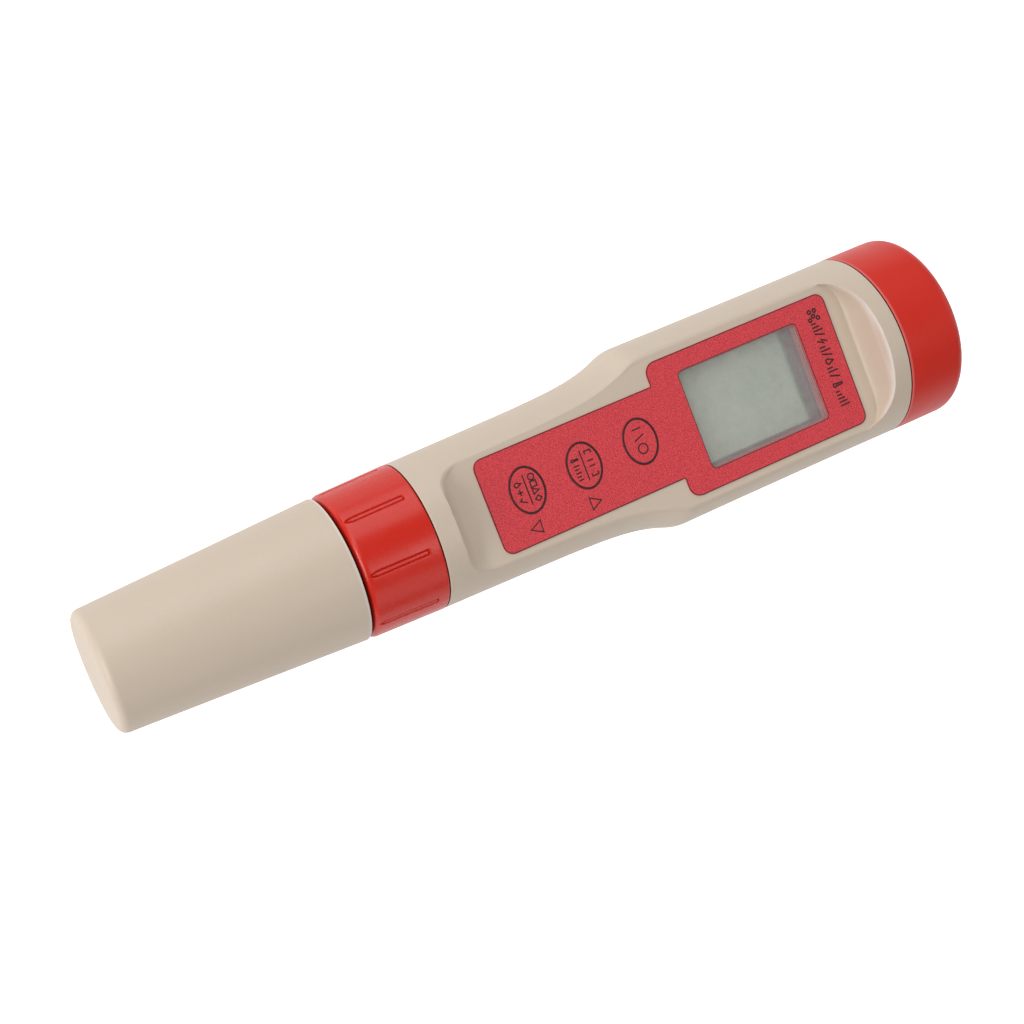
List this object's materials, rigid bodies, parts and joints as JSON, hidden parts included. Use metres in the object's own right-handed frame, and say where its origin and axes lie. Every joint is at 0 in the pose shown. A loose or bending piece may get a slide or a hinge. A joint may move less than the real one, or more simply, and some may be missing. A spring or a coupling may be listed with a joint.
{
  "type": "ph test pen",
  "caption": "Hand-held water test pen lying face up: capped probe, red screw collar, waisted round barrel with display and keys, red push-on battery cap.",
  "frame": {"origin": "centre of the protective cap's flat end face", "axes": "+X along the pen from the protective cap to the battery cap; +Z is the outward normal of the key and display face; the pen lies on its back"},
  "size_m": [0.1822, 0.0382, 0.0382],
  "materials": {
    "beige_abs": "satin moulded ABS",
    "gloss_red_abs": "glossy moulded ABS",
    "satin_red_abs": "satin moulded ABS",
    "label_film": "fine leather-grained printed film",
    "probe_plastic": "satin dark grey ABS",
    "bulb_glass": "thin pH glass",
    "junction_ceramic": "porous ceramic",
    "steel": "stainless steel",
    "plated_brass": "plated brass",
    "seal_rubber": "black elastomer",
    "sponge": "open-cell foam",
    "clear_window": "clear polycarbonate",
    "frame_mauve": "grey-mauve ABS",
    "display_glass": "reflective LCD, grey-green",
    "board_green": "solder mask on laminate",
    "black_resin": "black moulded resin",
    "tray_white": "white ABS",
    "cell_steel": "nickel-plated steel can",
    "wire_red": "PVC insulation",
    "wire_black": "PVC insulation"
  },
  "bodies": {
    "barrel": {"barrel": "beige_abs", "face_label": "label_film", "display_window": "clear_window", "display_frame": "frame_mauve", "display_panel": "display_glass", "contact_strip_1": "seal_rubber", "contact_strip_2": "seal_rubber", "circuit_board": "board_green", "microcontroller": "black_resin", "switch_base_1": "black_resin", "switch_base_2": "black_resin", "switch_base_3": "black_resin", "probe_socket": "black_resin", "chassis": "tray_white", "board_screw_1": "steel", "board_screw_2": "steel", "cell_1": "cell_steel", "cell_2": "cell_steel", "cell_3": "cell_steel", "cell_4": "cell_steel", "contact_spring_1": "steel", "contact_spring_2": "steel", "battery_wire_1": "wire_black", "battery_wire_2": "wire_red"},
    "probe": {"probe_shell": "probe_plastic", "probe_connector": "probe_plastic", "cap_seal": "seal_rubber", "probe_seal": "seal_rubber", "glass_bulb": "bulb_glass", "reference_junction": "junction_ceramic", "ec_pin_1": "steel", "ec_pin_2": "steel", "temperature_pin": "steel", "connector_pin_1": "plated_brass", "connector_pin_2": "plated_brass", "connector_pin_3": "plated_brass", "connector_pin_4": "plated_brass", "connector_pin_5": "plated_brass"},
    "collar": {"lock_collar": "gloss_red_abs"},
    "cap": {"protective_cap": "beige_abs", "cap_sponge": "sponge"},
    "battery_end": {"battery_cap": "satin_red_abs", "battery_cap_seal": "seal_rubber", "bridge_plate": "plated_brass"},
    "mode_key": {"key_mode": "label_film", "switch_button_1": "black_resin"},
    "hold_key": {"key_hold": "label_film", "switch_button_2": "black_resin"},
    "power_key": {"key_power": "label_film", "switch_button_3": "black_resin"}
  },
  "joints": [
    {"name": "collar_turn", "type": "hinge", "parent": "probe", "child": "collar", "pos_m": [0.056, 0, 0], "axis": [-1, 0, 0], "range_deg": [0, 1080]},
    {"name": "probe_unseat", "type": "slide", "parent": "barrel", "child": "probe", "axis": [-1, 0, 0], "range_m": [0, 0.006]},
    {"name": "cap_pull", "type": "slide", "parent": "probe", "child": "cap", "axis": [-1, 0, 0], "range_m": [0, 0.06]},
    {"name": "battery_cap_pull", "type": "slide", "parent": "barrel", "child": "battery_end", "axis": [1, 0, 0], "range_m": [0, 0.03]},
    {"name": "mode_key_press", "type": "slide", "parent": "barrel", "child": "mode_key", "axis": [0, 0, -1], "range_m": [0, 0.0004], "stiffness_N_per_m": 600},
    {"name": "hold_key_press", "type": "slide", "parent": "barrel", "child": "hold_key", "axis": [0, 0, -1], "range_m": [0, 0.0004], "stiffness_N_per_m": 600},
    {"name": "power_key_press", "type": "slide", "parent": "barrel", "child": "power_key", "axis": [0, 0, -1], "range_m": [0, 0.0004], "stiffness_N_per_m": 600}
  ],
  "couplings": [
    {"joint": "collar_turn", "follows": "probe_unseat", "rad_per_m": 3141.6}
  ]
}
